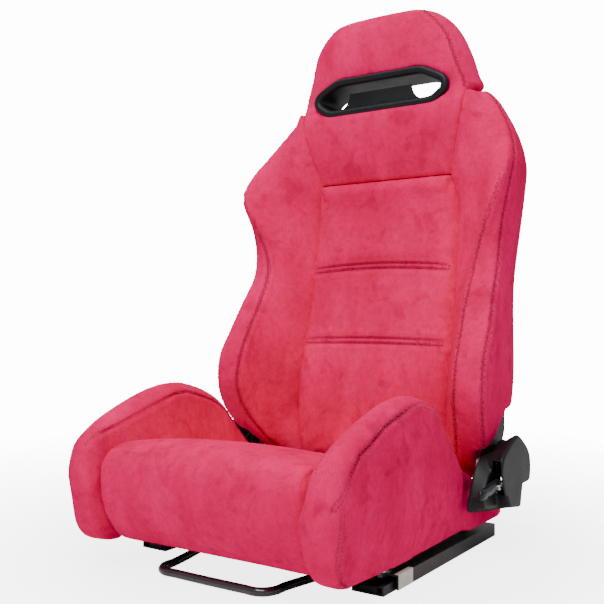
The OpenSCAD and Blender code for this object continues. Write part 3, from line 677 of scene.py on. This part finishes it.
def insert_ring(z):
    lift = float(np.interp(z, [106, 116, 594, 606, 613], [0, 8, 10, 8, 2]))
    x, y = EDGE_X(z) - 0.3, EDGE_Y(z)
    half = [(0, y - lift - 1.5), (x / 2, y - lift - 1), (x - 18, y - lift), (x - 7, y - lift + 1.5), (x, y + 6),
            (x, y + 26)]
    return [(px, py, z) for px, py in half] + [(-px, py, z) for px, py in half[:0:-1]]


CHANNELS = ((449, 8), (319, 3))
CHANNEL_HALF_GAP = 4.5


def make_insert():
    pad = loft("insert_pad", [insert_ring(z) for z in heights(INSERT_LOW, INSERT_TOP, 6)], 100)
    lines = []
    for middle, arch in CHANNELS:
        for offset in (-CHANNEL_HALF_GAP, CHANNEL_HALF_GAP):
            row = []
            for x in np.linspace(-147, 147, 120):
                z = middle + offset + arch * (1 - (x / 147) ** 2)
                row.append((x, EDGE_Y(z) - 11, z))
            lines.append(line(row))

    def hidden(c):
        return (c[:, 1] > EDGE_Y(c[:, 2]) + 6)

    soft_piece(pad, lines, hidden, 4, 5,
               [(lines, 4.6, 1.9, 1.0, 10)])
    seams = stitch_rows("insert_stitches", pad, lines[::2], (-2.2,), THREAD)
    upper = stitch_rows("insert_upper_stitches", pad, lines[1::2], (2.2,), THREAD)
    declare(pad, "backrest", ["back_insert"])
    attach(seams, "backrest")
    attach(upper, "backrest")


def head_ring(z):
    s, y, w = HEAD_SEAM_X(z) - 0.5, HEAD_FRONT_Y(z), HEAD_SIDE_X(z) - 0.5
    d = (HOLLOW_Y if z < HOLLOW_TOP else REAR_Y(z) - 8) - y
    k = 3 if z > 765 else 1
    half = [(0, y - k), (s / 2, y - k * 0.7), (s - 6, y), (s, y + 5), (w, y + d * 0.5), (w, y + d * 0.7),
            (w - 8, y + d * 0.92), (w * 0.7, y + d - 1), (0, y + d)]
    return [(px, py, z) for px, py in half] + [(-px, py, z) for px, py in half[-2:0:-1]]


def rounded_slot(grow, count=80):
    """Outline of the belt slot as (x, z) offsets from its middle, grown by some millimetres."""
    half = [(103, -19), (124, -4), (122, 2), (84, 21)]
    corners = half + [(-x, z) for x, z in half[::-1]]
    radius = 12 + grow
    n = len(corners)

    def normal(a, b):
        return math.atan2(b[1] - a[1], b[0] - a[0]) - math.pi / 2

    points = []
    for i, c in enumerate(corners):
        a, b = normal(corners[i - 1], c), normal(c, corners[(i + 1) % n])
        turn = (b - a) % (2 * math.pi)
        for k in range(7):
            points.append((c[0] + radius * math.cos(a + turn * k / 6), c[1] + radius * math.sin(a + turn * k / 6)))
    p = np.array(points + points[:1])
    run = np.concatenate([[0], np.cumsum(np.linalg.norm(np.diff(p, axis=0), axis=1))])
    at = np.linspace(0, run[-1], count, endpoint=False)
    ring = np.stack([np.interp(at, run, p[:, k]) for k in range(2)], 1)
    for _ in range(3):
        ring = (np.roll(ring, 1, 0) + 2 * ring + np.roll(ring, -1, 0)) / 4
    return ring


def slot_prism(y0, y1, grow):
    return plate_y("slot_prism", [(x, SLOT_Z + z) for x, z in rounded_slot(grow)], y0, y1)


def make_head():
    levels = heights(INSERT_TOP + 1, HOLLOW_TOP - 1, 8) + heights(HOLLOW_TOP, 900, 8) + heights(903, HEAD_TOP, 3)
    head = loft("head_pad", [head_ring(z) for z in levels], 120)
    cut(head, slot_prism(150, 350, 0.6))
    span = heights(762, 912, 3)
    side = [line([(s * (HEAD_SEAM_X(z) - 1), HEAD_FRONT_Y(z) + 3, z) for z in span]) for s in (-1, 1)]
    top = line([(x, 196, 911 + 5 * (1 - (x / 84) ** 2)) for x in np.linspace(-84, 84, 60)])

    def hidden(c):
        near_slot = (np.abs(c[:, 0]) < 142) & (np.abs(c[:, 2] - SLOT_Z) < 40)
        behind = (c[:, 2] < HOLLOW_TOP + 6) & (c[:, 1] > 222)
        edge = (c[:, 2] < 760) & (np.abs(c[:, 0]) > EDGE_X(c[:, 2]) - 4)
        return near_slot | behind | edge | (c[:, 2] < INSERT_TOP + 8)

    soft_piece(head, side + [top], hidden, 4, 5,
               [(side + [top], 2.2, 2.2, 0.6, 8)])
    seams = stitch_rows("head_stitches", head, side, (-3.4, 3.4), THREAD)
    over = stitch_rows("head_top_stitches", head, [top], (-3.2,), THREAD)
    declare(head, "backrest", ["headrest_pad"])
    attach(seams, "backrest")
    attach(over, "backrest")


def rear_ring(z):
    bx, by, r = SIDE_X(z), SIDE_Y(z), REAR_Y(z)
    outer = [(bx - 1, by + 1), (bx - 5, by + (r - by) * 0.32), (bx - 16, by + (r - by) * 0.58), (bx - 38, r - 12),
             (bx * 0.55, r - 4), (0, r)]
    inner = [(0, r - 6), (bx * 0.55, r - 10), (bx - 40, r - 19), (bx - 22, by + (r - by) * 0.45),
             (bx - 12, by + (r - by) * 0.2), (bx - 7, by + 1)]
    right = outer + [(-x, y) for x, y in outer[-2::-1]]
    back = [(-x, y) for x, y in inner[::-1]] + inner[1:]
    return [(x, y, z) for x, y in right + back]


def make_rear_cover():
    cover = loft("rear_cover", [rear_ring(z) for z in heights(212, 721, 8)], 170)
    bx = line([(SIDE_X(z) - 2, SIDE_Y(z) + 2, z) for z in heights(214, 718, 4)])
    panel = []
    for s in (-1, 1):
        panel.append(line([(s * (SIDE_X(z) - 52), REAR_Y(z) - 9, z) for z in heights(226, 690, 6)]))

    def hidden(c):
        r = REAR_Y(c[:, 2])
        return (c[:, 1] < r - 16) & (np.abs(c[:, 0]) < SIDE_X(c[:, 2]) - 26)

    soft_piece(cover, panel + [bx], hidden, 4, 5,
               [(panel, 2.0, 2.2, 0.5, 8)])
    seams = stitch_rows("rear_stitches", cover, panel, (-3.4, 3.4), THREAD)
    declare(cover, "backrest", ["back_panel"])
    attach(seams, "backrest")


def centre_ring(y):
    lo, hi = CENTRE_LOW(y), CENTRE_TOP(y)
    w = CUSHION_HALF - 1.2 - (2 if y < -300 else 0)
    half = [(0, hi + 10), (w / 2, hi + 8), (w - 26, hi + 2), (w - 6, hi - 4), (w, hi - 14), (w, lo + 14),
            (w - 14, lo), (w / 2, lo)]
    return [(px, y, pz) for px, pz in half] + [(-px, y, pz) for px, pz in half[::-1][:-1]]


def make_cushion_centre():
    rings = [centre_ring(y) for y in heights(-324, 117, 6)]
    pad = loft("cushion_pad", rings, 110)
    for lo, hi in (((-213, -262, 0), (213, 50, 58)), ((-213, 46, 0), (213, 260, 90))):
        cut(pad, prism_x([(lo[1], lo[2]), (hi[1], lo[2]), (hi[1], hi[2]), (lo[1], hi[2])], lo[0], hi[0]))
    sides = [line([(s * (CUSHION_HALF - 5), y, CENTRE_TOP(y) - 6) for y in heights(-318, 108, 6)]) for s in (-1, 1)]

    def hidden(c):
        return (c[:, 2] < 62) | (c[:, 1] > 60) | (np.abs(c[:, 0]) > CUSHION_HALF - 6)

    soft_piece(pad, sides, hidden, 5, 5.5, [(sides, 1.6, 2.6, 0.6, 9)])
    declare(pad, "seat", ["cushion_centre"])


def bolster_ring(y):
    lo, hi = SKIRT_Z(y), CREST_Z(y)
    nose = (-322 - y) * 0.7 if y < -322 else 0
    up = hi - lo
    inner, out = CUSHION_HALF + 0.6, 232 - nose
    fall = float(np.clip((y + 55) / 55, 0, 1))
    ring = [(inner + 4, lo + 6), (inner + 22, lo), (out - 18, lo), (out - 10, lo + 8), (out, lo + up * 0.5),
            (out - 1, hi - up * (0.12 + 0.16 * fall)), (out - 10, hi - up * (0.04 + 0.08 * fall)),
            (212 - 4 * fall, hi + 2 * fall), (196, hi - up * 0.05 + 3 * fall),
            (inner + 8 + nose * 0.5, hi - up * 0.14), (inner, lo + up * 0.45)]
    return [(x, y, z) for x, z in ring]


# Seam lines of the thigh pads as [y, z]: the inner and outer edges of the crest band.
CREST_INNER = [(-337, 184), (-305, 195), (-266, 204), (-224, 217), (-180, 230), (-145, 240), (-114, 242), (-84, 233),
               (-50, 222), (-18, 204), (8, 178), (38, 146), (62, 124)]
CREST_OUTER = [(-330, 140), (-298, 177), (-274, 198), (-249, 207), (-211, 224), (-169, 235), (-135, 243), (-95, 248),
               (-63, 240), (-40, 228), (-12, 206), (12, 178), (34, 154)]


def make_cushion_bolster():
    ys = heights(-340, -322, 3) + heights(-316, 108, 7)
    pad = loft("left_thigh_pad", [bolster_ring(y) for y in ys], 90)
    skirt = prism_x([(60, 33), (186, 33), (195, 37), (197, 46), (178, 60), (152, 80), (60, 85.5)], 213, 231.5)
    corner = prism_x([(90, 78), (150, 78), (128, 92), (96, 108)], 211, 219)
    merge(pad, skirt, corner)
    remesh(pad, 4 * MM)
    cut(pad, prism_x([(-262, 0), (50, 0), (50, 59), (-262, 59)], 100, 213))
    cut(pad, prism_x([(46, 0), (260, 0), (260, 91), (46, 91)], 100, 213))
    cut(pad, prism_x([(36, 86), (240, 86), (240, 300), (36, 300)], 224, 260))
    cut(pad, prism_x([(60, 86), (240, 86), (240, 300), (60, 300)], 219, 260))
    outer = line([(230 - max(0, -322 - y) * 0.7, y, z) for y, z in CREST_OUTER])
    front = line([(221, -316, 135), (221, -316, 101), (221, -316, 70), (220, -304, 50), (218, -286, 38)])
    inner = line([(191, y, z) for y, z in CREST_INNER])

    def hidden(c):
        return ((c[:, 2] < 60) & (c[:, 1] > -262) & (c[:, 0] < 216)) | (c[:, 1] > 28)

    soft_piece(pad, [outer, inner, front], hidden, 6, 5,
               [([outer, front], 2.6, 2.4, 0.9, 8), ([inner], 2.2, 2.2, 0.6, 8)])
    seams = stitch_rows("left_thigh_stitches", pad, [outer, front], (-3.6, 3.6), THREAD)
    single = stitch_rows("left_thigh_inner_stitches", pad, [inner], (3.4,), THREAD)
    copies = [mirror_copy(o, o.name.replace("left", "right")) for o in (pad, seams, single)]
    declare(pad, "seat", ["left_cushion_bolster"])
    declare(copies[0], "seat", ["right_cushion_bolster"])
    for o in (seams, single, copies[1], copies[2]):
        attach(o, "seat")


# ---------------------------------------------------------------- trim
def bevelled(obj, width, segments=3, angle=30):
    mod = obj.modifiers.new("edge", "BEVEL")
    mod.width = width * MM
    mod.segments = segments
    mod.limit_method = "ANGLE"
    mod.angle_limit = math.radians(angle)
    bake(obj)
    smooth_shade(obj)
    return obj


def make_bezel():
    """Tube-like rim round the belt slot and the tunnel behind it."""
    ring_size = 120
    section = [(-11, 262), (-11, 210), (-10.5, 196), (-10.8, 190), (-9, 185.5), (-5.5, 183), (-2, 182.6), (1.5, 184),
               (3.6, 187), (3.8, 190.5), (2.2, 193.5), (0, 196), (0, 266), (-5, 267.5), (-9, 266)]
    verts, faces = [], []
    for grow, y in section:
        verts += [(x * MM, y * MM, (SLOT_Z + z) * MM) for x, z in rounded_slot(grow, ring_size)]
    n = len(section)
    for k in range(n):
        for i in range(ring_size):
            j = (i + 1) % ring_size
            a, b = k * ring_size, ((k + 1) % n) * ring_size
            faces.append((a + i, a + j, b + j, b + i))
    rim = new_object("slot_rim", verts, faces)
    tidy_normals(rim)
    subdivide(rim)
    smooth_shade(rim)
    rim.data.materials.append(PLASTIC)
    attach(rim, "backrest")
    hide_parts("slot_bezel")


def make_bridge():
    """Plate across the lower middle of the slot, with scooped ends."""
    right = [(95 - 31 * math.cos(a), 779.5 - 31 * math.sin(a)) for a in np.linspace(0, 1.087, 14)]
    plate = plate_y("slot_plate", right + [(-x, z) for x, z in right[::-1]], 194.5, 197.5)
    bevelled(plate, 0.8)
    plate.data.materials.append(PLASTIC)
    attach(plate, "backrest")
    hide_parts("slot_bridge")


# Cover outlines as [y, z], at the rim and at the face.
DOME_RIM = [(90, 84), (158, 88), (204, 92), (206, 130), (196, 152), (174, 164), (150, 162), (118, 148), (86, 142)]
DOME_FACE = [(147, 99), (179, 102), (184, 128), (178, 146), (161, 162), (126, 180), (90, 168), (63, 152), (55, 132),
             (62, 109), (76, 92)]
TAIL_RIM = [(92, 62), (124, 57), (152, 54), (156, 70), (158, 88), (157, 104), (120, 106), (90, 104)]
TAIL_FACE = [(92, 73), (115, 69), (136, 66), (142, 82), (147, 99), (146, 112), (110, 114), (72, 112), (78, 90)]
FRONT_RIM = [(25, 77), (34, 69), (90, 60), (152, 54), (151, 90), (150, 120), (118, 148), (96, 149), (74, 147),
             (58, 134), (38, 104)]
FRONT_FACE = [(33, 92), (41, 77), (84, 71), (126, 66), (126, 94), (126, 120), (104, 150), (88, 150), (70, 136),
              (54, 122), (43, 109)]


def draft_block(rim, face, middle, x0, x1, inset, edge=4.0, count=140):
    """A block that tapers from its rim outline to its face outline, with a rounded face edge."""
    angles = np.linspace(-math.pi, math.pi, count, endpoint=False)

    def radii(outline):
        p = closed_curve(outline, 500) - np.array(middle)
        a, r = np.arctan2(p[:, 1], p[:, 0]), np.hypot(p[:, 0], p[:, 1])
        order = np.argsort(a)
        return np.interp(angles, a[order], r[order], period=2 * math.pi) - inset

    a, b = radii(rim), radii(face)
    top = x1 - inset
    steps = [(x0 + (top - edge - x0) * t, a + (b - a) * t**0.85) for t in np.linspace(0, 1, 12)]
    steps += [(top - edge + edge * math.sin(q), b - edge * (1 - math.cos(q)))
              for q in np.linspace(0.2, math.pi / 2, 6)]
    return skin("block", [np.stack([np.full(count, x), middle[0] + r * np.cos(angles),
                                    middle[1] + r * np.sin(angles)], 1) for x, r in steps])


def cover_shape(x0, x1, inset, front):
    """Outer or inner volume of a pivot cover, as one skin."""
    parts = [draft_block(DOME_RIM, DOME_FACE, (128, 128), x0, x1, inset),
             draft_block(TAIL_RIM, TAIL_FACE, (116, 88), x0, x1, inset)]
    if front:
        parts.append(draft_block(FRONT_RIM, FRONT_FACE, (84, 104), x0, 263.5, inset, 3.0))
    return remesh(merge(*parts), 1.5 * MM)


def make_cover(name, x1, front, replaced):
    cover = cover_shape(239, x1, 0, front)
    cut(cover, cover_shape(234, x1, 5, front))
    if front:
        cut(cover, prism_x([(40, 93), (112, 92), (112, 145), (60, 145), (50, 134), (46, 118)], 264, 281))
    remesh(cover, 1.3 * MM)
    smooth_shade(cover)
    dress(cover, PLASTIC)
    if not front:
        co = coords(cover)
        co[:, 0] *= -1
        set_coords(cover, co)
        cover.data.flip_normals()
    cover.name = name
    attach(cover, "seat")
    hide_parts(replaced)


def make_grip():
    """Recliner handle: a bent, rounded grip with finger waves below."""
    stations = ((68, 272, 110, 2.4, 6), (66, 272, 110, 4.4, 9), (58, 272.4, 109.8, 5.2, 10.2),
                (48, 272.8, 109.2, 5.8, 9.9), (38, 273.4, 108.8, 6.2, 9.0), (28, 274, 108.4, 6.2, 8.3),
                (18, 274.4, 107.8, 6.1, 7.9), (8, 275, 107.3, 6.0, 8.1), (0, 275.3, 107, 5.9, 8.6),
                (-6, 275.4, 107, 5.2, 7.9), (-10, 275.5, 107, 3.8, 5.6), (-12, 275.5, 107, 1.6, 2.4))
    rings = []
    for y, x, z, half_x, half_z in stations:
        ring = []
        for i in range(32):
            a = 2 * math.pi * i / 32
            wave = 0.9 * math.sin(y / 3.4) if -4 < y < 44 and math.sin(a) < -0.3 else 0
            ring.append((x + half_x * math.cos(a), y, z + (half_z + wave) * math.sin(a)))
        rings.append(np.array(ring))
    grip = skin("recline_grip", rings)
    remesh(grip, 1.1 * MM)
    cut(grip, prism_x(circle((56, 108.5), 4.4), 276.3, 290))
    smooth_shade(grip)
    dress(grip, GLOSS)
    attach(grip, "recliner_lever")
    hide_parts("lever_handle")


def make_apron():
    """Closing panel under the rear cover."""
    outline = [(-196, 204.5), (-196, 150), (-162, 122), (162, 122), (196, 150), (196, 204.5)]
    panel = plate_y("lower_apron", outline, 187, 191)
    bevelled(panel, 1.6)
    panel.data.materials.append(SUEDE)
    declare(panel, "backrest", ["back_apron"])


def make_bar():
    leg = [(153, -40, 11), (153, -50, 11), (145, -72, 9.8), (130, -96, 9), (119, -150, 8.4), (99, -245, 8),
           (96, -271, 8), (83, -284, 8), (60, -285, 8)]
    points = [Vector(p) * MM for p in leg] + [Vector((-x, y, z)) * MM for x, y, z in leg[::-1]]
    curve = bpy.data.curves.new("release_bar", "CURVE")
    curve.dimensions = "3D"
    curve.bevel_depth = 6 * MM
    curve.bevel_resolution = 8
    curve.resolution_u = 10
    curve.use_fill_caps = True
    spline = curve.splines.new("BEZIER")
    spline.bezier_points.add(len(points) - 1)
    for i, p in enumerate(points):
        b = spline.bezier_points[i]
        b.co = p
        b.handle_left_type = b.handle_right_type = "AUTO"
    for s in (-1, 1):
        pin = curve.splines.new("POLY")
        pin.points.add(1)
        for point, x in zip(pin.points, (141.5, 164.3)):
            point.co = (s * x * MM, -40 * MM, 11 * MM, 1)
            point.radius = 0.5
    obj = bpy.data.objects.new("release_bar", curve)
    bpy.context.scene.collection.objects.link(obj)
    graph = bpy.context.evaluated_depsgraph_get()
    mesh = bpy.data.meshes.new_from_object(obj.evaluated_get(graph))
    bpy.data.objects.remove(obj)
    bar = bpy.data.objects.new("release_bar", mesh)
    bpy.context.scene.collection.objects.link(bar)
    smooth_shade(bar)
    mesh.materials.clear()
    mesh.materials.append(BAR_PAINT)
    attach(bar, "slide_bar")
    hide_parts("slide_bar")


# ---------------------------------------------------------------- stage
def light(name, kind, place, aim, energy, size, colour=(1, 1, 1)):
    data = bpy.data.lights.new(name, kind)
    data.energy = energy
    data.color = colour
    if kind == "AREA":
        data.shape = "SQUARE"
        data.size = size
    obj = bpy.data.objects.new(name, data)
    obj.location = place
    obj.rotation_euler = (Vector(aim) - Vector(place)).to_track_quat("-Z", "Y").to_euler()
    bpy.context.scene.collection.objects.link(obj)


BACKDROP = 14.0


def make_stage():
    floor = new_object("floor", [(-40, -40, 0), (40, -40, 0), (40, 40, 0), (-40, 40, 0)], [(0, 1, 2, 3)])
    mat, tree, shader = material("floor")
    tree.links.new(ramp(tree, noise(tree, 3.0), [(0.3, (0.86, 0.86, 0.86)), (0.7, (0.88, 0.88, 0.88))]),
                   shader.inputs["Base Color"])
    shader.inputs["Roughness"].default_value = 0.9
    where = tree.nodes.new("ShaderNodeTexCoord")
    reach = tree.nodes.new("ShaderNodeVectorMath")
    reach.operation = "LENGTH"
    tree.links.new(where.outputs["Object"], reach.inputs[0])
    fade = node(tree, "ShaderNodeMapRange", From_Min=0.35, From_Max=1.5, To_Min=0.30, To_Max=1.0)
    tree.links.new(reach.outputs["Value"], fade.inputs["Value"])
    rays, seen = tree.nodes.new("ShaderNodeLightPath"), tree.nodes.new("ShaderNodeMath")
    seen.operation = "MULTIPLY"
    tree.links.new(fade.outputs["Result"], seen.inputs[0])
    tree.links.new(rays.outputs["Is Camera Ray"], seen.inputs[1])
    glow, both = node(tree, "ShaderNodeEmission", Strength=BACKDROP), tree.nodes.new("ShaderNodeMixShader")
    tree.links.new(seen.outputs[0], both.inputs["Fac"])
    tree.links.new(shader.outputs["BSDF"], both.inputs[1])
    tree.links.new(glow.outputs["Emission"], both.inputs[2])
    tree.links.new(both.outputs["Shader"], tree.nodes["Material Output"].inputs["Surface"])
    floor.data.materials.append(mat)
    world = bpy.data.worlds.new("studio")
    world.use_nodes = True
    tree = world.node_tree
    studio, backdrop = tree.nodes["Background"], tree.nodes.new("ShaderNodeBackground")
    studio.inputs["Strength"].default_value = 0.50
    backdrop.inputs["Strength"].default_value = BACKDROP
    for sky in (studio, backdrop):
        sky.inputs["Color"].default_value = (1, 1, 1, 1)
    rays, both = tree.nodes.new("ShaderNodeLightPath"), tree.nodes.new("ShaderNodeMixShader")
    tree.links.new(rays.outputs["Is Camera Ray"], both.inputs["Fac"])
    tree.links.new(studio.outputs["Background"], both.inputs[1])
    tree.links.new(backdrop.outputs["Background"], both.inputs[2])
    tree.links.new(both.outputs["Shader"], tree.nodes["World Output"].inputs["Surface"])
    bpy.context.scene.world = world
    light("key", "AREA", (0.5, -1.7, 2.8), (0, 0, 0.5), 84, 1.8)
    light("top", "AREA", (-0.5, 0.2, 2.9), (0, 0, 0.5), 34, 2.0)


def make_camera():
    azimuth, elevation = math.radians(34.055), math.radians(-0.753)
    focal_px, frame_px = 860.26, 604
    data = bpy.data.cameras.new("camera")
    data.sensor_width = 36
    data.lens = 36 * focal_px / frame_px
    cam = bpy.data.objects.new("camera", data)
    back = Vector((math.sin(azimuth) * math.cos(elevation), -math.cos(azimuth) * math.cos(elevation),
                   math.sin(elevation)))
    cam.location = (0.7589, -1.1826, 0.3701)
    cam.rotation_euler = (-back).to_track_quat("-Z", "Y").to_euler()
    bpy.context.scene.collection.objects.link(cam)
    bpy.context.scene.camera = cam


make_camera()
make_stage()
dress_cad()
make_wing()
make_insert()
make_head()
make_rear_cover()
make_cushion_centre()
make_cushion_bolster()
make_bezel()
make_bridge()
make_cover("left_pivot_cover", 284, True, "left_recliner_cover")
make_cover("right_side_cover", 264, False, "right_pivot_cover")
make_grip()
make_apron()
make_bar()

bpy.context.view_layer.update()
